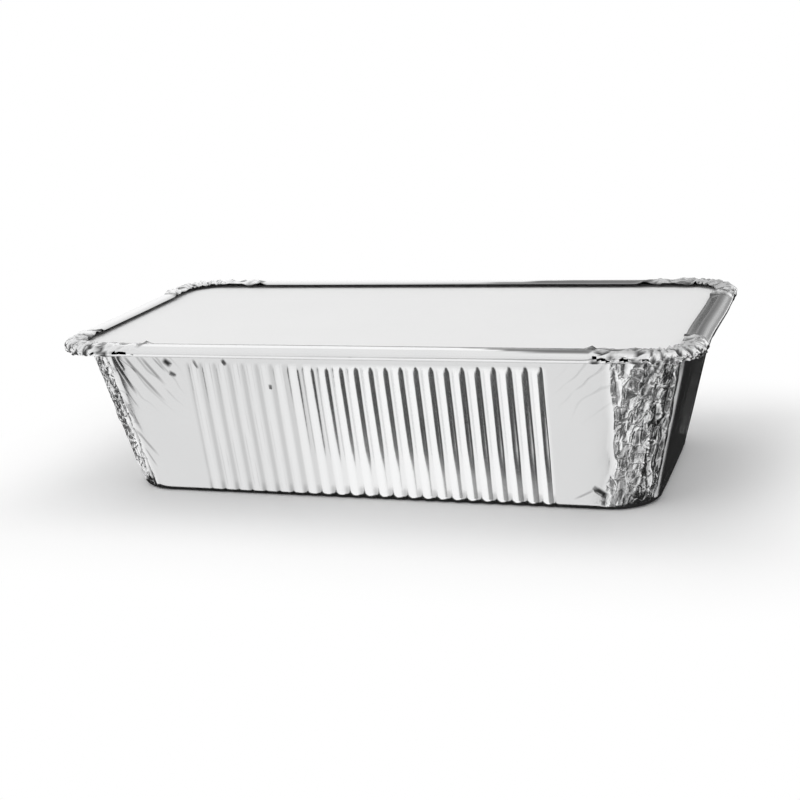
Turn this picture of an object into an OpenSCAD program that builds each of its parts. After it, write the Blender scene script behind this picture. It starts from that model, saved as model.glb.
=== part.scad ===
// Oblong foil food container: one pressed foil tray, and a board lid held under the tray's folded rim.
// The base centre lies at the origin, the length runs along X and the height along Z.

/* [Tray] */
// length over the folded rim
tray_l = 203; // [170:1:260]
// width over the folded rim
tray_w = 103; // [85:1:140]
// height of the folded rim along its straight sides
tray_h = 51.2; // [35:0.1:70]
// gauge of the foil
foil_t = 0.1; // [0.07:0.01:0.16]

/* [Walls] */
// how far the end walls lean in between the flange and the base
end_lean = 10.8; // [6:0.2:16]
// how far the long walls lean in between the flange and the base
side_lean = 8.4; // [5:0.2:14]
// corner radius of the wall where it meets the flange
wall_corner_r = 20; // [14:1:24]
// corner radius of the wall at its foot
base_corner_r = 15; // [10:1:18]
// rounding between the base and the walls
base_round = 2.2; // [1.2:0.2:4]

/* [Ribs] */
// upright ribs on each long wall, as far as the wall has room for them
rib_count = 24; // [8:1:28]
// distance from one rib to the next
rib_pitch = 4.7; // [3.6:0.1:7]
// height of a rib over the grooves beside it
rib_rise = 1; // [0.2:0.1:1.1]
// plain strip between the ribs and the flange
rib_top_gap = 3.5; // [2:0.5:8]
// least smooth wall between the ribs and a corner
rib_margin = 10; // [6:1:20]

/* [Corner gathers] */
// depth of the corner gathers near the top of the wall
gather_top = 1.2; // [0.2:0.1:1.2]
// depth of the corner gathers at the foot of the wall
gather_foot = 0.4; // [0.1:0.1:0.6]
// number that picks how the gathers vary
gather_seed = 11; // [1:1:60]

/* [Rim] */
// width of the flange that carries the lid
flange_w = 4.5; // [3.5:0.5:7]
// corner radius of the folded rim
rim_corner_r = 15; // [13:1:24]
// height of the rounded outer edge where the foil turns up and over
bead_h = 2.4; // [2:0.1:4]
// width of foil folded in over the lid, from the outer edge
hem_w = 7; // [6:0.5:9]
// distance from the outer edge to the crease along the fold
crease_in = 4; // [2.5:0.1:5]
// how far the fold slopes down from that crease to its inner edge, which stays clear of the lid
hem_drop = 0.6; // [0.2:0.1:0.8]
// how far the pleats at the rim's corners stand up
pleat_rise = 0.7; // [0.1:0.1:1]
// how far the pleats draw the rim's corners in
pleat_draw = 0.7; // [0.1:0.1:0.8]

/* [Lid] */
// thickness of the board
lid_t = 0.55; // [0.4:0.05:0.8]
// clearance between the board's edge and the foil round it
lid_play = 1; // [0.9:0.1:1.6]

/* [Hidden] */

half_l = tray_l / 2;
half_w = tray_w / 2;
flange_z = tray_h - bead_h;
lid_z = flange_z + foil_t;
// The fold rises this much from the rounded edge to its crease
crease_rise = 0.1;
crease_z = tray_h + crease_rise;
hem_z = crease_z - hem_drop;

// The rounded outer edge: height of its widest line, and how far its foot and its top stand in from that line
bead_mid = 0.25 * bead_h;
bead_foot_in = 0.7;
bead_top_in = 1;
// Gathers are shallow where the wall turns into the flange, and more so on the flange under the lid's edge
turn_gather = 0.4;
flange_gather = 0.15;
// Middle of the rounding at the foot, as a share of its radius in from the wall and up from the base
round_mid = 0.3;

// Where the ribs end, as a share of the way up from the foot's rounding to the flange
rib_top_at = 1 - rib_top_gap / (flange_z - base_round);
// Ribs that the straight part of the foot has room for, and the points that shape each one
foot_straight = half_l - flange_w - end_lean - base_corner_r - rib_margin;
rib_used = min(rib_count, floor(2 * foot_straight / rib_pitch));
rib_zone = rib_used * rib_pitch / 2;
rib_steps = 4;
// Below 1, the ribs are broad and the grooves between them narrow
rib_fullness = 0.8;

// Stations round a corner: shares of the smooth wall beside the ribs, degrees of the arc, shares of the end wall
smooth_at = [0.6, 0.82];
arc_at = [0, 9, 17, 25, 33, 41, 49, 57, 65, 73, 81, 90];
end_at = [0.88, 0.75];
corner_n = len(smooth_at) + len(arc_at) + len(end_at);

// Kinds of station
LONG = 0;
SMOOTH = 1;
ARC = 2;
END = 3;

// Fields of a station: signs of x and y, kind, place along that kind, and its number among the gathers, where it
// has one
SIGN_X = 0;
SIGN_Y = 1;
KIND = 2;
PLACE = 3;
NUMBER = 4;
PLAIN = -1;

function backward(list) = [for (i = [len(list) - 1:-1:0]) list[i]];

function corner_run(sx, sy, first) = let (
        run = concat(
            [for (share = smooth_at) [SMOOTH, share]],
            [for (angle = arc_at) [ARC, angle]],
            [for (share = end_at) [END, share]]
        )
    )
    [for (i = [0:len(run) - 1]) [sx, sy, run[i][0], run[i][1], first + i]];

function long_run(sy) =
    [for (k = [0:rib_used * rib_steps]) [1, sy, LONG, -rib_zone + k * rib_pitch / rib_steps, PLAIN]];

stations = concat(
    long_run(-1),
    corner_run(1, -1, 0),
    [[1, -1, END, 0, PLAIN]],
    backward(corner_run(1, 1, corner_n)),
    backward(long_run(1)),
    corner_run(-1, 1, 2 * corner_n),
    [[-1, 1, END, 0, PLAIN]],
    backward(corner_run(-1, -1, 3 * corner_n))
);
around = len(stations);

// Place and outward direction of a station on a rounded rectangle, in the quarter where both signs are plus
function spot(s, hx, hy, r) = let (at = s[PLACE])
    s[KIND] == LONG ? [at, hy, 0, 1] :
    s[KIND] == SMOOTH ? [rib_zone + (hx - r - rib_zone) * at, hy, 0, 1] :
    s[KIND] == ARC ? [hx - r + r * sin(at), hy - r + r * cos(at), sin(at), cos(at)] :
    [hx, (hy - r) * at, 1, 0];

function rib_wave(s) =
    s[KIND] == LONG ? pow(abs(sin(180 * (s[PLACE] + rib_zone) / rib_pitch)), rib_fullness) - 0.5 : 0;

// Fields of a level: insets at the ends and sides, corner radius, height, the inner face's step inward and its rise
// in gauges, rib height, gather depth outward and inward, pleat height
IN_X = 0;
IN_Y = 1;
CORNER = 2;
HEIGHT = 3;
STEP = 4;
RISE = 5;
RIB = 6;
OUTWARD = 7;
INWARD = 8;
PLEAT = 9;

// Distances that share a rounded corner's centre: each level of the rim follows the one outside it
function rim_level(inset, z, step, rise, draw, pleat) =
    [inset, inset, rim_corner_r - inset, z, step, rise, 0, 0, draw, pleat];

// The foot's rounding: the ribs and gathers run over it and die out on the base
function foot_level(inset, z, step, share) =
    [
        flange_w + end_lean + inset, flange_w + side_lean + inset, base_corner_r - inset, z,
        step, 1, share * rib_rise, share * gather_foot, share * gather_foot, 0
    ];

function gather_at(up) = gather_foot + (gather_top - gather_foot) * up;

// A level of the wall, which is this share of the way up from the foot's rounding to the flange
function wall_level(up, rib, depth) =
    [
        flange_w + end_lean * (1 - up), flange_w + side_lean * (1 - up),
        base_corner_r + (wall_corner_r - base_corner_r) * up, base_round + (flange_z - base_round) * up,
        1, up, rib, depth, depth, 0
    ];

levels = [
    foot_level(base_round, 0, 0, 0.5),
    foot_level(round_mid * base_round, round_mid * base_round, 0.7, 1),
    wall_level(0, rib_rise, gather_foot),
    wall_level(0.5, rib_rise, gather_at(0.5)),
    wall_level(rib_top_at, rib_rise, gather_top),
    wall_level(1, 0, turn_gather),
    rim_level(bead_foot_in, flange_z, 0.5, 1, flange_gather, 0),
    rim_level(0, flange_z + bead_mid, 1, 0, pleat_draw, 0),
    rim_level(bead_top_in, tray_h, 0.3, -1, pleat_draw, pleat_rise),
    rim_level(crease_in, crease_z, 0, -1, pleat_draw, pleat_rise),
    rim_level(hem_w, hem_z, 0, -1, pleat_draw, pleat_rise)
];

// Uneven zigzag round the corners: even stations go out and up, odd ones in, each as far as chance has it
least_gather = 0.25;
chance = rands(least_gather, 1, 4 * corner_n * len(levels), gather_seed);

function shift(s, k) = let (
        v = levels[k],
        free = s[NUMBER] == PLAIN ? 0 : chance[s[NUMBER] * len(levels) + k],
        even = s[NUMBER] % 2 == 0
    )
    even ? [free * v[OUTWARD], free * v[PLEAT]] : [-free * v[INWARD], 0];

// Points of one level, on the sheet's outer face (inner = 0) or on its inner face (inner = 1)
function ring(k, inner) = let (v = levels[k])
    [for (s = stations) let (
            p = spot(s, half_l - v[IN_X], half_w - v[IN_Y], v[CORNER]),
            moved = shift(s, k),
            out = v[RIB] * rib_wave(s) + moved[0] - inner * v[STEP] * foil_t,
            up = moved[1] + inner * v[RISE] * foil_t
        )
        [s[SIGN_X] * (p[0] + out * p[2]), s[SIGN_Y] * (p[1] + out * p[3]), v[HEIGHT] + up]];

// One sheet: under the base, up the outside and over the rim, then back down the inside. Each face of the inside lies
// along its face of the outside, with the same diagonals.
module foil_tray() {
    n = len(levels);
    rings = concat(
        [for (k = [0:n - 1]) ring(k, 0)],
        [for (k = [n - 1:-1:0]) ring(k, 1)]
    );
    points = concat(
        [[0, 0, 0]],
        [for (r = rings) for (p = r) p],
        [[0, 0, foil_t]]
    );
    top = len(points) - 1;
    top_ring = 1 + (2 * n - 1) * around;
    faces = concat(
        [for (i = [0:around - 1]) [0, 1 + i, 1 + (i + 1) % around]],
        [for (k = [0:2 * n - 2]) for (i = [0:around - 1]) let (
                a = 1 + k * around + i,
                b = 1 + k * around + (i + 1) % around,
                rising = (i + (k < n ? 0 : 1)) % 2 == 0
            )
            for (f = rising ? [[a, a + around, b], [b, a + around, b + around]]
                    : [[a, b + around, b], [a, a + around, b + around]]) f],
        [for (i = [0:around - 1]) [top, top_ring + (i + 1) % around, top_ring + i]]
    );
    color("silver")
        polyhedron(points = points, faces = faces, convexity = 12);
}

// A flat board that lies on the flange, inside the turned-up edge
module board_lid() {
    inset = foil_t + lid_play;
    r = rim_corner_r - inset;
    color("white")
        translate([0, 0, lid_z])
            linear_extrude(lid_t)
                hull()
                    for (x = [-1, 1], y = [-1, 1])
                        translate([x * (half_l - inset - r), y * (half_w - inset - r)])
                            circle(r = r, $fn = 96);
}

foil_tray();
board_lid();
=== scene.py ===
import math

import bpy
from mathutils import Matrix, Vector


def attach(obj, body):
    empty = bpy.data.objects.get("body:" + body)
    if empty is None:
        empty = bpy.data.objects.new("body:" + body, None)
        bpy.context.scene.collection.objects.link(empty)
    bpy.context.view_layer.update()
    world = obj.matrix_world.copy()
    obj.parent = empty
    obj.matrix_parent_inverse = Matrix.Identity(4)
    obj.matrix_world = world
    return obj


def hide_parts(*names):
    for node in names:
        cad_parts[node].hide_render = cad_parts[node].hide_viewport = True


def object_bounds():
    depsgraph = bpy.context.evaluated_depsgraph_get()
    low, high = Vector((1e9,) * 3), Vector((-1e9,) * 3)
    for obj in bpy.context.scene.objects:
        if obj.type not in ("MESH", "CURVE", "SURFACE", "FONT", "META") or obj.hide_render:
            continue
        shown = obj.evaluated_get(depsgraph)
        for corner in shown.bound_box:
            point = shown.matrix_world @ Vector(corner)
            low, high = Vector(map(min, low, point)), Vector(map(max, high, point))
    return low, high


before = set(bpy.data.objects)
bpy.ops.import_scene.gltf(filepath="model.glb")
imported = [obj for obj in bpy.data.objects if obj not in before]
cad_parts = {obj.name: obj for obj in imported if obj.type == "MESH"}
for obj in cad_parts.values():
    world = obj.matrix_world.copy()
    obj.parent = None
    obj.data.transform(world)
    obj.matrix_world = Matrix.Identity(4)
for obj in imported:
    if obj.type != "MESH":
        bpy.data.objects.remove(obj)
cad_low, cad_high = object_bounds()

MM = 0.001

# Sizes of the container in millimetres, as its solids have them. Only the ribs start from a little more
# height, because they are pressed unevenly.
TRAY_L, TRAY_W, TRAY_H = 203.0, 103.0, 51.2
FOIL_T = 0.1
FLANGE_W, BEAD_H = 4.5, 2.4
END_LEAN, SIDE_LEAN = 10.8, 8.4
WALL_R, FOOT_R, FOOT_ROUND = 20.0, 15.0, 2.2
RIM_R = 15.0
RIB_PITCH, RIB_COUNT, RIB_RISE = 4.7, 24, 1.1
RIB_ZONE = RIB_PITCH * RIB_COUNT / 2
FLANGE_Z = TRAY_H - BEAD_H

# Where the straight folds of the rim end, and where the gathers of the walls begin, from the tray's middle
FOLD_END_X, FOLD_END_Y = 70.6, 28.0
GATHER_X, GATHER_Y = 75.5, 31.0

# Height where the ribs stop, and the number that every chance on the foil starts from
RIB_TOP = FLANGE_Z - 3.8
FOIL_SEED = 3.7

# The end folds lie this far off the tray's middle towards its front
END_FOLD_SHIFT = 2.0

# The long walls lie beyond this, to the front and to the rear of the middle
LONG_WALL_Y = 36.0


class Wire:
    """An output socket that takes part in sums."""

    def __init__(self, graph, socket):
        self.graph, self.socket = graph, socket

    def _do(self, operation, *others, first=None):
        values = [self, *others] if first is None else [first, self, *others]
        return self.graph.put("ShaderNodeMath", {"operation": operation}, dict(enumerate(values)))

    def __add__(self, other):
        return self._do("ADD", other)

    def __radd__(self, other):
        return self._do("ADD", other)

    def __sub__(self, other):
        return self._do("SUBTRACT", other)

    def __rsub__(self, other):
        return self._do("SUBTRACT", first=other)

    def __mul__(self, other):
        return self._do("MULTIPLY", other)

    def __rmul__(self, other):
        return self._do("MULTIPLY", other)

    def __truediv__(self, other):
        return self._do("DIVIDE", other)

    def __abs__(self):
        return self._do("ABSOLUTE")

    def least(self, other):
        """The smaller of the two."""
        return self._do("MINIMUM", other)

    def most(self, other):
        """The larger of the two."""
        return self._do("MAXIMUM", other)

    def back_and_forth(self, half):
        """Rises to half, falls to 0, and so on."""
        return self._do("PINGPONG", half)

    def fold(self, pitch):
        """A sharp zigzag between -0.5 and 0.5."""
        return self._do("PINGPONG", pitch / 2) / (pitch / 2) - 0.5

    def ease(self, low, high):
        """0 below low, 1 above high, and smooth between them."""
        return self.graph.put(
            "ShaderNodeMapRange",
            {"interpolation_type": "SMOOTHSTEP"},
            {"Value": self, "From Min": low, "From Max": high},
        )


class Graph:
    """A node tree that is filled by put()."""

    def __init__(self, tree):
        self.tree = tree

    def put(self, kind, settings=None, sockets=None, out=0):
        node = self.tree.nodes.new(kind)
        for name, value in (settings or {}).items():
            setattr(node, name, value)
        for key, value in (sockets or {}).items():
            if isinstance(value, Wire):
                self.tree.links.new(value.socket, node.inputs[key])
            else:
                node.inputs[key].default_value = value
        return Wire(self, node.outputs[out])

    def noise(self, place, scale=1.0, detail=2.0, roughness=0.5, warp=0.0):
        sockets = {"Vector": place, "Scale": scale, "Detail": detail}
        return self.put("ShaderNodeTexNoise", {}, {**sockets, "Roughness": roughness, "Distortion": warp})

    def cells(self, place, scale=1.0, feature="F1"):
        return self.put("ShaderNodeTexVoronoi", {"feature": feature}, {"Vector": place, "Scale": scale})

    def point(self, x=0.0, y=0.0, z=0.0):
        return self.put("ShaderNodeCombineXYZ", {}, {0: x, 1: y, 2: z})

    def parts(self, vector):
        split = self.put("ShaderNodeSeparateXYZ", {}, {0: vector})
        return [Wire(self, socket) for socket in split.socket.node.outputs]

    def colours(self, factor, dark, light):
        sockets = {0: factor, 6: (*dark, 1.0), 7: (*light, 1.0)}
        return self.put("ShaderNodeMix", {"data_type": "RGBA"}, sockets, 2)


def spread(start, stop, steps):
    """Even steps from start up to, but not onto, stop."""
    return [start + (stop - start) * i / steps for i in range(steps)]


# The points that one pitch of the ribs needs, as shares of it from the middle of a groove
RIB_POINTS = (0.0, 0.08, 0.17, 0.28, 0.5, 0.72, 0.83, 0.92)

# Points along the smooth panel, round the corner, and along the end wall near the corner and far from it.
# The near ones reach in to this share of the straight end.
PANEL_POINTS, ARC_POINTS, NEAR_POINTS, FAR_POINTS = 24, 60, 20, 11
NEAR_SHARE = 0.62

# Rows of the wall, and the angles of the rows round its foot
WALL_ROWS = 36
FOOT_ANGLES = (0, 24, 48, 70)

# Rows of the rim from the flange to the folded edge: inset from the outermost line, height over the flange
RIM_ROWS = (
    (2.2, -0.3), (0.75, -0.8), (0.3, -0.72), (0.05, -0.35), (0.0, 0.05), (0.02, 0.6), (0.3, 1.25),
    (0.8, 1.8), (1.4, 2.18), (2.2, 2.38), (3.1, 2.46), (4.0, 2.5), (4.35, 2.42), (5.6, 2.16), (6.7, 1.93),
    (7.0, 1.98),
)


def quarter_stations():
    """(kind, place) from the middle of a long side to the middle of an end."""
    ribs = [("long", (k + share) * RIB_PITCH) for k in range(RIB_COUNT // 2) for share in RIB_POINTS]
    panel = [("panel", u) for u in spread(0.0, 1.0, PANEL_POINTS)]
    arc = [("arc", a) for a in spread(0.0, math.pi / 2, ARC_POINTS)]
    near = [("end", u) for u in spread(1.0, NEAR_SHARE, NEAR_POINTS)]
    far = [("end", u) for u in spread(NEAR_SHARE, 0.0, FAR_POINTS)] + [("end", 0.0)]
    return ribs + panel + arc + near + far


def spot(kind, place, half_x, half_y, r):
    """(x, y, outward x, outward y) in the quarter where both signs are plus."""
    if kind == "long":
        return place, half_y, 0.0, 1.0
    if kind == "panel":
        return RIB_ZONE + (half_x - r - RIB_ZONE) * place, half_y, 0.0, 1.0
    if kind == "arc":
        s, c = math.sin(place), math.cos(place)
        return half_x - r + r * s, half_y - r + r * c, s, c
    return half_x, (half_y - r) * place, 1.0, 0.0


def sheet_rows():
    """(inset at the ends, inset at the sides, corner radius, height) from the foot to the folded edge."""
    lean_x, lean_y = FLANGE_W + END_LEAN, FLANGE_W + SIDE_LEAN
    rows = []
    for angle in FOOT_ANGLES:
        s, c = math.sin(math.radians(angle)), math.cos(math.radians(angle))
        drop = FOOT_ROUND * (1 - s)
        rows.append((lean_x + drop, lean_y + drop, FOOT_R - drop, FOOT_ROUND * (1 - c)))
    below_turn = FLANGE_Z - 0.5
    for i in range(WALL_ROWS + 1):
        z = FOOT_ROUND + (below_turn - FOOT_ROUND) * i / WALL_ROWS
        up = (z - FOOT_ROUND) / (FLANGE_Z - FOOT_ROUND)
        rows.append((lean_x - END_LEAN * up, lean_y - SIDE_LEAN * up, FOOT_R + (WALL_R - FOOT_R) * up, z))
    for inset, r, drop in ((FLANGE_W - 0.12, WALL_R, 0.15), (FLANGE_W - 0.6, WALL_R - 2.0, 0.0)):
        rows.append((inset, inset, r, FLANGE_Z - drop))
    rows += [(inset, inset, RIM_R - inset, FLANGE_Z + rise) for inset, rise in RIM_ROWS]
    return rows


def flat_sheet():
    """The smooth tray, with its outward directions and the lengths run along and up the sheet."""
    quarter = quarter_stations()
    turns = []
    for sx, sy, run in (
        (1, -1, quarter[:-1]), (1, 1, quarter[:0:-1]), (-1, 1, quarter[:-1]), (-1, -1, quarter[:0:-1]),
    ):
        turns += [(sx, sy, kind, place) for kind, place in run]
    rows = sheet_rows()
    half_x, half_y = TRAY_L / 2, TRAY_W / 2
    along, last = [0.0], None
    for sx, sy, kind, place in turns:
        x, y, _, _ = spot(kind, place, half_x - FLANGE_W, half_y - FLANGE_W, WALL_R)
        here = Vector((sx * x, sy * y))
        along.append(along[-1] + ((here - last).length if last else 0.0))
        last = here
    points, out, run, rise = [], [], [], []
    risen = 0.0
    for k, (in_x, in_y, r, z) in enumerate(rows):
        if k:
            risen += math.hypot(in_y - rows[k - 1][1], z - rows[k - 1][3])
        for (sx, sy, kind, place), length in zip(turns, along[1:]):
            x, y, nx, ny = spot(kind, place, half_x - in_x, half_y - in_y, r)
            points.append((sx * x * MM, sy * y * MM, z * MM))
            out.append((sx * nx, sy * ny, 0.0))
            run.append(length)
            rise.append(risen)
    n = len(turns)
    faces = [
        (k * n + i, k * n + (i + 1) % n, (k + 1) * n + (i + 1) % n, (k + 1) * n + i)
        for k in range(len(rows) - 1) for i in range(n)
    ]
    centre = len(points)
    points.append((0.0, 0.0, 0.0))
    out.append((0.0, 0.0, 0.0))
    run.append(0.0)
    rise.append(-(half_y - FLANGE_W - SIDE_LEAN - FOOT_ROUND))
    faces += [(centre, (i + 1) % n, i) for i in range(n)]
    mesh = bpy.data.meshes.new("foil_sheet")
    mesh.from_pydata(points, [], faces)
    outward = [part for direction in out for part in direction]
    mesh.attributes.new("out", "FLOAT_VECTOR", "POINT").data.foreach_set("vector", outward)
    mesh.attributes.new("run", "FLOAT", "POINT").data.foreach_set("value", run)
    mesh.attributes.new("rise", "FLOAT", "POINT").data.foreach_set("value", rise)
    mesh.polygons.foreach_set("use_smooth", [True] * len(mesh.polygons))
    return mesh, risen


def gather_borders(x, z, border_x, border_y):
    """How far out the gathers of a wall begin at each height.

    They lean outwards up the wall at the left corners and at the ends, and at the right corners they spread
    over the panel near the foot.
    """
    left_lean, end_lean, foot_spread = 0.17, 0.14, 4.5
    left = 1.0 - x.ease(-1.0, 1.0)
    spread_in = (1.0 - left) * (z.ease(1.0, 18.0) - 1.0) * foot_spread
    return left * (z * left_lean + 0.5) + spread_in + border_x, z * end_lean + border_y


class Press:
    """What every part of the pressing reads: the point, its place on the sheet, and the tool's sizes."""

    def __init__(self, g, size):
        self.g, self.size = g, size
        self.x, self.y, self.z = (part * 1000.0 for part in g.parts(g.put("GeometryNodeInputPosition")))
        self.run, self.rise = self.stored("run"), self.stored("rise")
        self.out = self.stored("out", "FLOAT_VECTOR")
        self.rear = self.y.ease(-1.0, 1.0)
        flange = size["Flange height"]
        self.on_wall = (1.0 - self.z.ease(flange - 0.7, flange - 0.1)) * self.z.ease(0.2, 2.4)
        self.on_rim = self.rise.ease(size["Rim start"], size["Rim start"] + 1.2)

    def stored(self, name, kind="FLOAT"):
        return self.g.put("GeometryNodeInputNamedAttribute", {"data_type": kind}, {"Name": name})

    def chance(self, across, up, number, detail=2.0):
        """Smooth chance about 0 that varies so many times per millimetre across and up."""
        at = self.g.point(self.run * across, self.rise * up, self.size["Seed"] + number)
        return self.g.noise(at, detail=detail) - 0.5


def pressed_ribs(p):
    """Broad ribs with steep-sided grooves between them, from the base's edge to just under the flange.

    They are crisp at the right and shallow at the left. Gives how far they push the foil out, the shade
    painted into the grooves and between the ribs' feet, and the highlight painted on the ribs' crowns.
    """
    from_groove = p.x.back_and_forth(RIB_PITCH / 2)
    crisp = p.x.ease(-38.0, -4.0)
    across = from_groove.ease(0.0, p.size["Rib flank"] * (crisp * 0.5 + 0.5))
    in_zone = 1.0 - abs(p.x).ease(p.size["Rib zone"] - 0.02, p.size["Rib zone"] + 0.02)
    ragged = p.g.noise(p.g.point(p.x * 0.31, p.rear, p.size["Seed"])) * 1.2
    top = p.size["Rib top"] + ragged
    on_long_wall = abs(p.y).ease(LONG_WALL_Y, LONG_WALL_Y + 1.0)
    ribbed = in_zone * (1.0 - p.z.ease(top - 1.5, top)) * p.z.ease(-0.6, 1.0) * on_long_wall
    uneven = (p.chance(0.04, 0.03, 1.0) * 0.25 + crisp * 0.8 + 0.25) * (p.z.ease(9.0, 20.0) * 0.3 + 0.7)
    push = (across - 0.6) * p.size["Rib height"] * uneven * ribbed
    # Painted shade: the grooves are darkened, more towards the foot, with dark arcs between the ribs' feet;
    # the crowns get a painted highlight
    near_foot = 1.6 - p.z.ease(2.0, 6.0) * 0.6
    groove = (1.0 - from_groove.ease(0.3, 1.7)) * ribbed * near_foot * (crisp * 0.4 + 0.6)
    foot_arc = (1.0 - from_groove.ease(0.2, 1.4)) * ribbed * (1.0 - p.z.ease(2.5, 6.0)) * 1.4
    shade = (groove * (1.0 - crisp * 0.7)).most(foot_arc)
    crown = across.ease(0.3, 0.9).most(crisp) * ribbed * (crisp * 0.7 + 0.3)
    return push, shade, crown


def corner_gathers(p):
    """Long folds that wander down the corner, short ones between them, and crumpled facets, with shade
    painted in the valleys.
    """
    at_x = abs(p.x) + p.chance(0.0, 0.16, 2.0) * 3.0
    at_y = abs(p.y) + p.chance(0.0, 0.16, 3.0) * 2.0
    border_x, border_y = gather_borders(p.x, p.z, p.size["Gather x"], p.size["Gather y"])
    beyond_x, beyond_y = at_x - border_x, at_y - border_y
    zone = beyond_x.ease(-0.5, 0.5) * beyond_y.ease(-0.5, 0.5) * p.on_wall
    deep = p.z.ease(0.0, 48.0) * 0.5 + 0.5
    pitch = p.size["Gather pitch"]
    long_fold = (p.run + p.chance(0.12, 0.13, 4.0, 3.0) * 11.0).fold(pitch)
    short_fold = (p.run + p.rise * 0.35 + p.chance(0.24, 0.24, 5.0, 3.0) * 9.0).fold(pitch * 0.6)
    strength = p.chance(0.3, 0.16, 6.0) * 2.0 + 0.75
    wander = p.chance(0.3, 0.3, 7.0) * 2.0
    facet = p.g.cells(p.g.point(p.run * 0.36 + wander, p.rise * 0.12, p.size["Seed"]))
    valley = abs(p.chance(0.4, 0.12, 8.0, 3.0)) * 4.0
    height = long_fold * 0.45 + short_fold * strength * 0.5 + (facet - 0.45) * 0.9 - valley * 0.5
    front_ridge = (1.0 - abs(beyond_x).ease(0.2, 1.3)) * p.z.ease(8.0, 24.0) * abs(p.y).ease(34.0, 38.0)
    end_ridge = (1.0 - abs(beyond_y).ease(0.1, 1.0)) * p.z.ease(2.0, 12.0) * abs(p.x).ease(78.0, 84.0)
    border_ridge = front_ridge.most(end_ridge) * p.on_wall
    push = height * p.size["Gather depth"] * deep * zone + border_ridge * 0.6
    # Painted shade in the folds' valleys
    shade = (0.0 - height).ease(0.0, 0.6) * zone
    return push, shade


def wall_slack(p):
    """A faint unevenness, and a shallow valley along each side of the ends."""
    valley_y, valley_half, depth = 22.0, 5.5, 0.25
    wobble = p.chance(0.03, 0.04, 11.0)
    valley = (1.0 - abs(abs(p.y) - valley_y).ease(0.0, valley_half)) * abs(p.x).ease(80.0, 81.0)
    return (wobble * 0.45 - valley * depth) * p.on_wall * p.size["Slack"]


def rim_pleats(p):
    """Pleats round the rim's corners, small lifted ears where the straight folds end, and a faint sway.

    Gives how far the foil goes out and up, and the shade painted into its pleats' valleys, along its folded
    edge, on its ears and at its hooks.
    """
    edge = p.size["Fold edge"]
    fold_x, fold_y = p.size["Fold end x"], p.size["Fold end y"]
    from_mid = abs(p.y + END_FOLD_SHIFT)
    by_x = abs(p.x).ease(fold_x - 0.3, fold_x + 0.6)
    by_y = from_mid.ease(fold_y - 0.3, fold_y + 0.6)
    corner = by_x * by_y * p.on_rim
    long_pleat = (p.run + p.rise * 0.5 + p.chance(0.16, 0.14, 12.0, 3.0) * 13.0).fold(5.4)
    short_pleat = (p.run - p.rise * 0.7 + p.chance(0.3, 0.2, 13.0, 3.0) * 9.0).fold(3.1)
    crush = p.g.cells(p.g.point(p.run * 0.42, p.rise * 0.36, p.size["Seed"] + 14.0))
    height = long_pleat * 0.55 + short_pleat * 0.3 + (crush - 0.45) * 0.9
    lift = (height + 0.1) * p.size["Pleat height"] * corner
    folded = p.rise.ease(edge - 5.0, edge)
    ragged = p.chance(0.22, 0.1, 16.0, 3.0) * folded * 4.0
    flare = (long_pleat * 0.9 + 0.2 + ragged) * corner
    ear_x = abs(p.x).ease(fold_x - 2.6, fold_x - 0.4) * (1.0 - by_x) * by_y
    ear_y = from_mid.ease(fold_y - 2.6, fold_y - 0.4) * (1.0 - by_y) * by_x
    ear = ear_x.most(ear_y) * p.rise.ease(edge - 3.0, edge)
    sway = p.chance(0.035, 0.0, 15.0) * p.on_rim * (1.0 - corner)
    # The right end's rim is drawn in round this place along it
    bow = (1.0 - abs(p.y + 20.0).ease(0.0, 36.0)) * p.x.ease(84.0, 90.0) * p.on_rim
    push = flare * p.size["Pleat flare"] + sway * 0.3 - bow * 0.7
    up = lift + ear * 0.9 + sway * 0.15
    # Painted shade: a dark line along the folded edge, which broadens towards the right, and dark hooks
    # where it ends
    bold = p.x.ease(10.0, 60.0)
    front_end = p.x.ease(36.0, 50.0) * (1.0 - p.y.ease(-44.0, -40.0))
    broad = bold * 3.6 + front_end * 0.9
    line = (p.rise + broad).ease(edge - 1.7, edge - 1.0) * (1.0 - corner * 0.6)
    line = line * (p.x.ease(-60.0, 40.0) * 0.45 + 0.5)
    end_x = 1.0 - abs(abs(p.x) - fold_x).ease(bold * 0.9 + 0.3, bold * 1.2 + 0.8)
    end_x = end_x * abs(p.y).ease(40.0, 44.0)
    end_y = (1.0 - abs(from_mid - fold_y).ease(0.3, 0.8)) * abs(p.x).ease(90.0, 94.0)
    hook = end_x.most(end_y) * p.rise.ease(edge - 6.5, edge - 4.0)
    # Painted shade in the pleats' valleys; the lifted ears are painted dark as well
    pleat_valley_shade = corner * (0.02 - height).ease(0.0, 0.22)
    return push, up, pleat_valley_shade.most(line).most(ear).most(hook)


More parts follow.
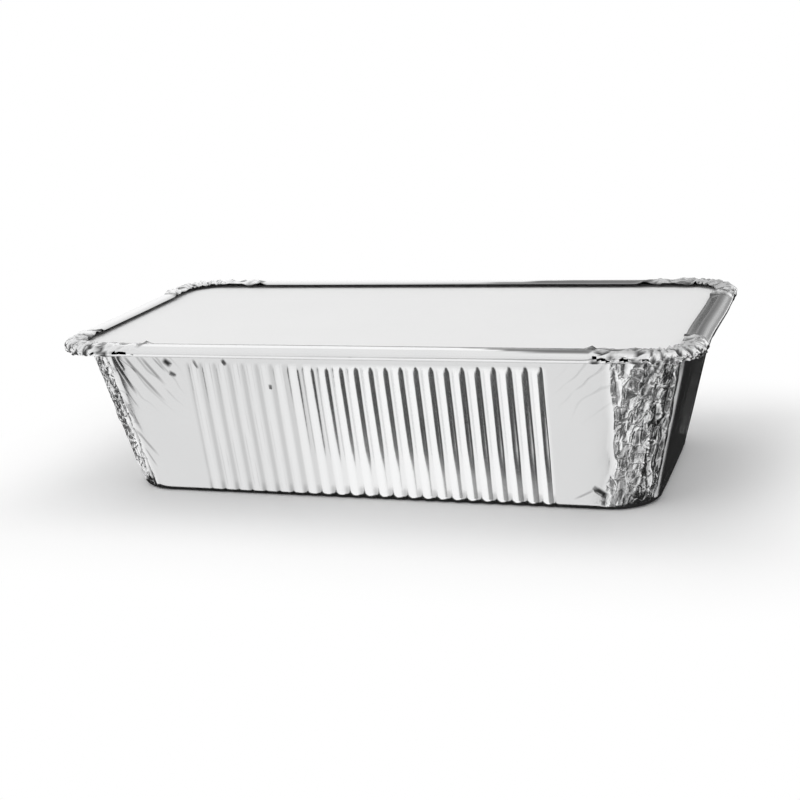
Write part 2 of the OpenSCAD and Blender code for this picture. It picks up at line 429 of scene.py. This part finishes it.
def pressing(rim_start, fold_edge):
    tree = bpy.data.node_groups.new("press_foil", "GeometryNodeTree")
    side = tree.interface
    side.new_socket("Geometry", in_out="INPUT", socket_type="NodeSocketGeometry")
    sizes = {
        "Flange height": FLANGE_Z, "Rim start": rim_start, "Fold edge": fold_edge,
        "Rib height": RIB_RISE, "Rib flank": 2.1, "Rib zone": RIB_ZONE, "Rib top": RIB_TOP,
        "Gather x": GATHER_X, "Gather y": GATHER_Y, "Gather depth": 1.5, "Gather pitch": 4.8, "Slack": 1.0,
        "Fold end x": FOLD_END_X, "Fold end y": FOLD_END_Y, "Pleat height": 1.0, "Pleat flare": 0.7,
        "Seed": FOIL_SEED,
    }
    for name, value in sizes.items():
        side.new_socket(name, in_out="INPUT", socket_type="NodeSocketFloat").default_value = value
    side.new_socket("Foil", in_out="INPUT", socket_type="NodeSocketMaterial")
    side.new_socket("Geometry", in_out="OUTPUT", socket_type="NodeSocketGeometry")
    g = Graph(tree)
    entry = tree.nodes.new("NodeGroupInput")
    size = {socket.name: Wire(g, socket) for socket in entry.outputs if socket.name}
    p = Press(g, size)
    rib_push, rib_shade, rib_crown = pressed_ribs(p)
    gather_push, gather_shade = corner_gathers(p)
    rim_push, rim_up, rim_shade = rim_pleats(p)
    push = rib_push + gather_push + wall_slack(p) + rim_push
    upward = g.point(0.0, 0.0, rim_up * MM)
    outward = g.put("ShaderNodeVectorMath", {"operation": "SCALE"}, {0: p.out, "Scale": push * MM})
    moved = g.put("ShaderNodeVectorMath", {"operation": "ADD"}, {0: outward, 1: upward})
    geometry = size["Geometry"]
    # Painted shade of the grooves, the gathers' valleys and the rim's creases and edge, and the painted
    # highlight on the rib crowns, stored for the foil's colour
    crush = (gather_shade * 0.62).most(rim_shade)
    for name, value in (("groove", rib_shade), ("ridge", rib_crown), ("crush", crush)):
        geometry = g.put(
            "GeometryNodeStoreNamedAttribute", {"data_type": "FLOAT", "domain": "POINT"},
            {"Geometry": geometry, "Name": name, "Value": value},
        )
    shaped = g.put("GeometryNodeSetPosition", {}, {"Geometry": geometry, "Offset": moved})
    real = g.put("GeometryNodeRealizeInstances", {}, {"Geometry": shaped})
    done = g.put("GeometryNodeSetMaterial", {}, {"Geometry": real, "Material": size["Foil"]})
    leave = tree.nodes.new("NodeGroupOutput")
    tree.links.new(done.socket, leave.inputs[0])
    return tree, sizes


def pressed_tray(foil):
    """The smooth sheet, pressed, given the foil's gauge and kept inside the solids' box."""
    mesh, fold_edge = flat_sheet()
    rough = bpy.data.objects.new("foil_rough", mesh)
    bpy.context.scene.collection.objects.link(rough)
    rim_start = math.hypot(SIDE_LEAN, FLANGE_Z) + FLANGE_W
    tree, sizes = pressing(rim_start, fold_edge)
    press = rough.modifiers.new("press", "NODES")
    press.node_group = tree
    names = {s.name: s.identifier for s in tree.interface.items_tree if s.in_out == "INPUT"}
    for name, value in sizes.items():
        press[names[name]] = value
    press[names["Foil"]] = foil
    gauge = rough.modifiers.new("gauge", "SOLIDIFY")
    gauge.thickness = FOIL_T * MM
    gauge.offset = -1.0
    gauge.use_rim = True
    seen = bpy.context.evaluated_depsgraph_get()
    plain = bpy.data.meshes.new_from_object(rough.evaluated_get(seen))
    bpy.data.objects.remove(rough)
    # The inner face is marked so that the foil's colour paints shade on it, darkening the underside of the
    # fold
    outer = len(mesh.vertices)
    inside = [0.0 if v.index < outer else 1.0 for v in plain.vertices]
    plain.attributes.new("inside", "FLOAT", "POINT").data.foreach_set("value", inside)
    for v in plain.vertices:
        for i in range(3):
            v.co[i] = min(max(v.co[i], cad_low[i]), cad_high[i])
    tray = bpy.data.objects.new("foil_tray_pressed", plain)
    bpy.context.scene.collection.objects.link(tray)
    return tray


def new_material(name):
    material = bpy.data.materials.new(name)
    material.use_nodes = True
    material.node_tree.nodes.clear()
    return material, Graph(material.node_tree)


def finish_material(g, shader):
    out = g.tree.nodes.new("ShaderNodeOutputMaterial")
    g.tree.links.new(shader.socket, out.inputs["Surface"])


# Small dents and sharp creases of the front wall, with shade painted into them: middle along and up, half
# length, half width, slant in degrees, and how dark each is painted, which also sets its bump's depth. First
# the dents of the panels and ribs, then the creases at the left corner.
NICKS = (
    (70.5, 6.1, 2.8, 0.75, -35.0, 0.95), (65.6, 5.2, 4.0, 0.3, 28.0, 0.35),
    (-63.0, 45.2, 1.8, 0.85, -40.0, 0.95), (-61.9, 41.4, 1.4, 0.6, -30.0, 0.85),
    (-53.2, 44.8, 2.0, 0.35, -65.0, 0.65), (-43.5, 45.6, 1.3, 0.5, -60.0, 0.9),
    (-29.3, 37.8, 0.7, 0.6, 0.0, 0.8),
    (-78.8, 39.5, 6.5, 0.5, -61.0, 0.75), (-72.5, 39.9, 10.5, 0.45, -53.0, 0.5),
    (-68.8, 42.7, 6.5, 0.45, -55.0, 0.5), (-75.6, 44.0, 4.5, 0.4, -57.0, 0.6),
    (-66.0, 44.6, 3.5, 0.3, -52.0, 0.4), (-79.8, 45.0, 3.0, 0.4, -66.0, 0.6),
    (-78.5, 33.0, 4.5, 0.3, -58.0, 0.35), (-79.5, 26.9, 7.0, 0.4, -68.0, 0.45),
    (-76.5, 17.6, 6.5, 0.4, -53.0, 0.4), (-76.0, 12.0, 4.0, 0.3, -62.0, 0.35),
)


def panel_creases(g, x, y, z, border_x):
    """Sharp creases that run down from the rim's corners over the smooth panels, for the bump and for the
    shade painted into them.
    """
    rear = y.ease(-1.0, 1.0)
    drift = g.noise(g.point(x * 0.05, rear, z * 0.05)) - 0.5
    from_crease = (abs(x) * 0.72 - z * 0.7 + drift * 12.0).back_and_forth(2.1)
    broken = g.noise(g.point(x * 0.09, rear + 5.0, z * 0.09)).ease(0.33, 0.48)
    on_long_wall = abs(y).ease(LONG_WALL_Y - 1.0, LONG_WALL_Y)
    there = abs(x).ease(57.0, 66.0) * (1.0 - (abs(x) - border_x).ease(0.0, 2.0)) * on_long_wall
    there = there * z.ease(26.0, 42.0) * (1.0 - z.ease(FLANGE_Z - 1.2, FLANGE_Z - 0.5)) * broken
    strength = (0.5 - x.ease(-60.0, 60.0) * 0.3) * (1.0 - y.ease(30.0, 31.0) * 0.4)
    return (1.0 - from_crease.ease(0.0, 0.6)) * there * strength


def front_nicks(x, y, z):
    """The dents and creases of NICKS, on the front wall alone, as painted shade and as bumps."""
    nick = None
    for at_x, at_z, half_length, half_width, slant, depth in NICKS:
        c, s = math.cos(math.radians(slant)), math.sin(math.radians(slant))
        along = abs((x - at_x) * c + (z - at_z) * s)
        across = abs((z - at_z) * c - (x - at_x) * s)
        one = 1.0 - along.ease(half_length * 0.3, half_length * 1.1)
        one = one * (1.0 - across.ease(half_width * 0.3, half_width * 1.8)) * depth
        nick = one if nick is None else nick.most(one)
    return nick * (1.0 - y.ease(-LONG_WALL_Y, 1.0 - LONG_WALL_Y))


def faint_grooves(g, x, y, z):
    """Painted shade: fine broken dark lines in the shallow grooves at the left of the ribs."""
    from_groove = x.back_and_forth(RIB_PITCH / 2)
    streak = g.noise(g.point(x * 0.45, y.ease(-1.0, 1.0), z * 0.07)).ease(0.35, 0.65)
    beside = 1.0 - abs(from_groove - 1.5).ease(0.05, 0.4)
    lines = (1.0 - from_groove.ease(0.05, 0.5)).most(beside * 0.6)
    in_zone = 1.0 - abs(x).ease(RIB_ZONE - 0.1, RIB_ZONE + 0.1)
    there = in_zone * (1.0 - x.ease(-40.0, -8.0)) * abs(y).ease(LONG_WALL_Y, LONG_WALL_Y + 1.0)
    there = there * z.ease(1.0, 4.0) * (1.0 - z.ease(FLANGE_Z - 4.5, FLANGE_Z - 3.0))
    return lines * there * (streak * 0.22 + z.ease(36.0, 44.0) * 0.12)


def foil_material():
    """Bright rolled foil: faint rolling lines, soft haze, and fine crinkles where it is gathered."""
    material, g = new_material("bright_foil")
    coords = g.put("ShaderNodeTexCoord", {}, {}, 3)

    def stored(name):
        return g.put("ShaderNodeAttribute", {"attribute_name": name}, {}, 2)

    groove, ridge, crush, inside = stored("groove"), stored("ridge"), stored("crush"), stored("inside")
    run, rise = stored("run"), stored("rise")
    x, y, z = (part * 1000.0 for part in g.parts(coords))
    border_x, border_y = gather_borders(x, z, GATHER_X, GATHER_Y)
    corner = (abs(x) - border_x).ease(-2.0, 1.0) * (abs(y) - border_y).ease(-2.0, 1.0)
    haze = g.noise(coords, 55.0, 3.0)
    cloud = g.noise(coords, 18.0)
    crinkle = g.noise(coords, 330.0, 4.0, 0.62, 0.8)
    facet = g.cells(coords, 260.0, "DISTANCE_TO_EDGE")
    rolling = g.noise(g.point(run * 0.4, rise * 9.0))
    colour = g.colours(haze * 0.6 + cloud * 0.4, (0.88, 0.885, 0.89), (0.97, 0.97, 0.97))
    # Painted highlight: the ribs' crowns, the gathered corners and the rim keep the full colour, while the
    # smooth walls are dimmed
    rim = z.ease(FLANGE_Z - 0.5, FLANGE_Z)
    painted_highlight = ridge.most(corner).most(rim)
    crease = panel_creases(g, x, y, z, border_x)
    nick = front_nicks(x, y, z)
    fine = faint_grooves(g, x, y, z)
    # Painted shade: darkening in the grooves, the gathers' valleys, the rim's creases and folded edge, the
    # inner face, the panels' creases, the dents, and the fine lines in the shallow grooves
    dark = (groove * 0.3).most(crush * 0.92).most(inside * 0.8)
    dark = dark.most(crease * 0.6).most(nick).most(fine)
    shade = (0.76 + painted_highlight * 0.24) * (1.0 - dark)
    tint = g.point(shade, shade, shade)
    multiply = {"data_type": "RGBA", "blend_type": "MULTIPLY"}
    colour = g.put("ShaderNodeMix", multiply, {0: 1.0, 6: colour, 7: tint}, 2)
    rough = 0.13 + haze * 0.08 + corner * 0.04
    height = crinkle * (corner * 0.5 + 0.05) + facet.least(0.12) * corner * 3.0 + rolling * 0.02
    height = height - crease * 0.6 - nick
    bump = g.put("ShaderNodeBump", {}, {"Strength": 0.5, "Distance": 0.0004, "Height": height})
    sockets = {"Base Color": colour, "Metallic": 1.0, "Roughness": rough, "Normal": bump}
    finish_material(g, g.put("ShaderNodeBsdfPrincipled", {}, sockets))
    return material


def board_material():
    """White coated board: matte, with a faint mottle and fibre."""
    material, g = new_material("white_board")
    coords = g.put("ShaderNodeTexCoord", {}, {}, 3)
    mottle = g.noise(coords, 30.0, 3.0)
    fibre = g.noise(coords, 900.0, 3.0)
    colour = g.colours(mottle * 0.7 + fibre * 0.3, (0.79, 0.79, 0.79), (0.85, 0.85, 0.848))
    rough = 0.5 + mottle * 0.12
    grain = {"Strength": 0.12, "Distance": 0.0002, "Height": fibre + mottle * 0.5}
    bump = g.put("ShaderNodeBump", {}, grain)
    sockets = {"Base Color": colour, "Roughness": rough, "Normal": bump}
    finish_material(g, g.put("ShaderNodeBsdfPrincipled", {}, sockets))
    return material


tray = pressed_tray(foil_material())
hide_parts("foil_tray")
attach(tray, "root")

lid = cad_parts["board_lid"]
lid.data.materials.clear()
lid.data.materials.append(board_material())


def plain_floor():
    """Pale floor that keeps the shadow under the container and runs out to the white of the room."""
    reach, white_after = 4.0, 0.065
    mesh = bpy.data.meshes.new("floor")
    mesh.from_pydata(level(-reach, reach, -reach, reach, 0.0), [], [(0, 1, 2, 3)])
    floor = bpy.data.objects.new("floor", mesh)
    bpy.context.scene.collection.objects.link(floor)
    material, g = new_material("pale_floor")
    coords = g.put("ShaderNodeTexCoord", {}, {}, 3)
    x, y, _ = g.parts(coords)
    beside = g.point((abs(x) - cad_high[0]).most(0.0), (abs(y) - cad_high[1]).most(0.0))
    away = g.put("ShaderNodeVectorMath", {"operation": "LENGTH"}, {0: beside}, 1)
    rays = g.tree.nodes.new("ShaderNodeLightPath")
    shown = Wire(g, rays.outputs["Is Camera Ray"]).most(Wire(g, rays.outputs["Is Glossy Ray"]))
    paint = g.put("ShaderNodeBsdfDiffuse", {}, {"Color": (0.95, 0.95, 0.95, 1.0)})
    white = g.put("ShaderNodeEmission", {}, {"Color": (1.0, 1.0, 1.0, 1.0), "Strength": 1.0})
    whiteness = away.ease(0.0, white_after) * shown
    finish_material(g, g.put("ShaderNodeMixShader", {}, {0: whiteness, 1: paint, 2: white}))
    mesh.materials.append(material)
    floor.visible_glossy = False


def level(x0, x1, y0, y1, z):
    """Corners of a rectangle that lies flat at one height."""
    return [(x0, y0, z), (x1, y0, z), (x1, y1, z), (x0, y1, z)]


def upright(x0, x1, y, z0, z1):
    """Corners of a rectangle that stands across the container's front or rear."""
    return [(x0, y, z0), (x1, y, z0), (x1, y, z1), (x0, y, z1)]


def sideways(x, y0, y1, z0, z1):
    """Corners of a rectangle that stands across one of the container's ends."""
    return [(x, y0, z0), (x, y1, z0), (x, y1, z1), (x, y0, z1)]


def rib_card_grey(g):
    """Dark, with a soft edge towards the container, so that the bands on the ribs fade near the foot."""
    x, y, _ = g.parts(g.put("ShaderNodeTexCoord", {}, {}, 3))
    beyond = y + 0.124 - (x - 0.058).least(0.038) * 0.5
    return beyond.ease(-0.008, 0.008) * (x.ease(0.115, 0.14) * 0.45 + 0.35) + 0.06


def front_card_grey(g):
    """Light at the left and dark at the right, as the rim's rounded front edge shows it."""
    x, _, _ = g.parts(g.put("ShaderNodeTexCoord", {}, {}, 3))
    return 0.68 - x.ease(-0.42, -0.2) * 0.28 - x.ease(-0.09, -0.02) * 0.38


def mirrored_card(name, corners, grey=0.02):
    """A card that only the foil's reflections see, as a photographer sets one beside bright metal."""
    mesh = bpy.data.meshes.new(name)
    mesh.from_pydata(corners, [], [tuple(range(len(corners)))])
    card = bpy.data.objects.new(name, mesh)
    bpy.context.scene.collection.objects.link(card)
    card.visible_camera = card.visible_diffuse = card.visible_transmission = card.visible_shadow = False
    material, g = new_material(name)
    colour = (grey, grey, grey, 1.0) if isinstance(grey, float) else g.point(*[grey(g)] * 3)
    finish_material(g, g.put("ShaderNodeEmission", {}, {"Color": colour}))
    mesh.materials.append(material)


def soft_light(name, place, aim, size, power):
    """A large lamp that lights the object and isn't itself mirrored in the foil."""
    lamp = bpy.data.lights.new(name, "AREA")
    lamp.shape, lamp.size, lamp.size_y, lamp.energy = "RECTANGLE", size[0], size[1], power
    holder = bpy.data.objects.new(name, lamp)
    holder.location = place
    holder.rotation_mode = "QUATERNION"
    holder.rotation_quaternion = (Vector(aim) - Vector(place)).to_track_quat("-Z", "Y")
    holder.visible_glossy = False
    bpy.context.scene.collection.objects.link(holder)


def pale_world():
    """Grey light all round, which the camera, metal and glass see as white."""
    world = bpy.data.worlds.new("pale_room")
    bpy.context.scene.world = world
    world.use_nodes = True
    world.node_tree.nodes.clear()
    g = Graph(world.node_tree)
    rays = world.node_tree.nodes.new("ShaderNodeLightPath")
    kinds = ("Is Camera Ray", "Is Glossy Ray", "Is Transmission Ray")
    camera, glossy, through = (Wire(g, rays.outputs[kind]) for kind in kinds)
    strength = camera.most(glossy).most(through) * 0.5 + 0.5
    light = g.put("ShaderNodeBackground", {}, {"Color": (1.0, 1.0, 1.0, 1.0), "Strength": strength})
    out = world.node_tree.nodes.new("ShaderNodeOutputWorld")
    world.node_tree.links.new(light.socket, out.inputs["Surface"])


def photo_camera():
    """At the photograph's viewing angle and distance, with a longer lens to fill the frame."""
    azimuth, elevation, roll = (math.radians(a) for a in (19.3, 15.6, -4.0))
    place = Vector((0.1495, -0.4372, 0.1502)) * 1.015
    focal_in_pixels, frame_width, sensor_width, longer = 912.9, 800.0, 36.0, 1.62
    reach = math.cos(elevation)
    back = Vector((math.sin(azimuth) * reach, -math.cos(azimuth) * reach, math.sin(elevation)))
    right = Vector((math.cos(azimuth), math.sin(azimuth), 0.0))
    up = back.cross(right)
    across = math.cos(roll) * right + math.sin(roll) * up
    above = -math.sin(roll) * right + math.cos(roll) * up
    data = bpy.data.cameras.new("photo_camera")
    data.sensor_width = sensor_width
    data.lens = focal_in_pixels / frame_width * sensor_width * longer
    data.clip_start, data.clip_end = 0.01, 50.0
    camera = bpy.data.objects.new("photo_camera", data)
    turn = Matrix((across, above, back)).transposed().to_4x4()
    camera.matrix_world = Matrix.Translation(place) @ turn
    bpy.context.scene.collection.objects.link(camera)
    bpy.context.scene.camera = camera


bpy.context.scene.view_settings.view_transform = "Standard"
plain_floor()

# The cards that the walls mirror lie flat below the floor, which the foil doesn't see
LOW = -0.055
mirrored_card("card_ribs", [
    (0.057, -0.095, LOW), (0.075, -0.065, LOW), (0.15, -0.055, LOW), (0.17, -0.08, LOW), (0.4, -0.08, LOW),
    (0.4, -0.2, LOW), (0.06, -0.2, LOW),
], rib_card_grey)
mirrored_card("card_end", [
    (0.17, -0.08, LOW), (0.5, -0.08, LOW), (0.5, 0.6, LOW), (0.07, 0.6, LOW), (0.08, 0.1, LOW),
    (0.15, -0.04, LOW),
])
ABOVE_LOW = LOW + MM
mirrored_card("card_slit", [
    (0.143, 0.018, ABOVE_LOW), (0.235, 0.072, ABOVE_LOW), (0.228, 0.1, ABOVE_LOW), (0.14, 0.034, ABOVE_LOW),
], 0.9)
mirrored_card("card_left", level(-0.29, -0.21, -0.2, 0.2, LOW))

# The others stand round the container or hang over it, for the rim and the fold, and a dark one lies under
# its base as a painted shadow, standing for the floor's shadow there, which the foil doesn't see
FRONT_Y, REAR_Y = -1.1, 0.95
mirrored_card("card_front", upright(-1.0, 1.0, FRONT_Y, -0.25, 0.1), front_card_grey)
mirrored_card("card_far_right", sideways(1.0, -0.9, 0.5, 0.02, 0.5))
mirrored_card("card_far_left", sideways(-1.0, -0.6, 0.9, 0.02, 0.3))
mirrored_card("card_back_low", upright(-0.16, -0.055, REAR_Y, 0.13, 0.232), 0.1)
mirrored_card("card_back", upright(-0.055, 0.6, REAR_Y, 0.19, 0.75), 0.5)
mirrored_card("card_back_right", upright(0.2, 0.5, REAR_Y, -0.05, 0.19), 0.3)
mirrored_card("card_high", upright(-1.2, 0.1, FRONT_Y, 0.12, 1.1), 0.8)
mirrored_card("card_over", level(-1.6, 1.6, -1.1, 1.0, 1.1), 0.83)
mirrored_card("card_under", level(-0.088, 0.088, -0.04, 0.04, -0.001))
soft_light("overhead", (0.0, 0.1, 1.2), (0.0, 0.0, 0.0), (1.6, 1.2), 7.0)
soft_light("key", (-0.6, -0.6, 0.7), (0.0, 0.0, 0.03), (0.8, 0.8), 2.6)
pale_world()
photo_camera()
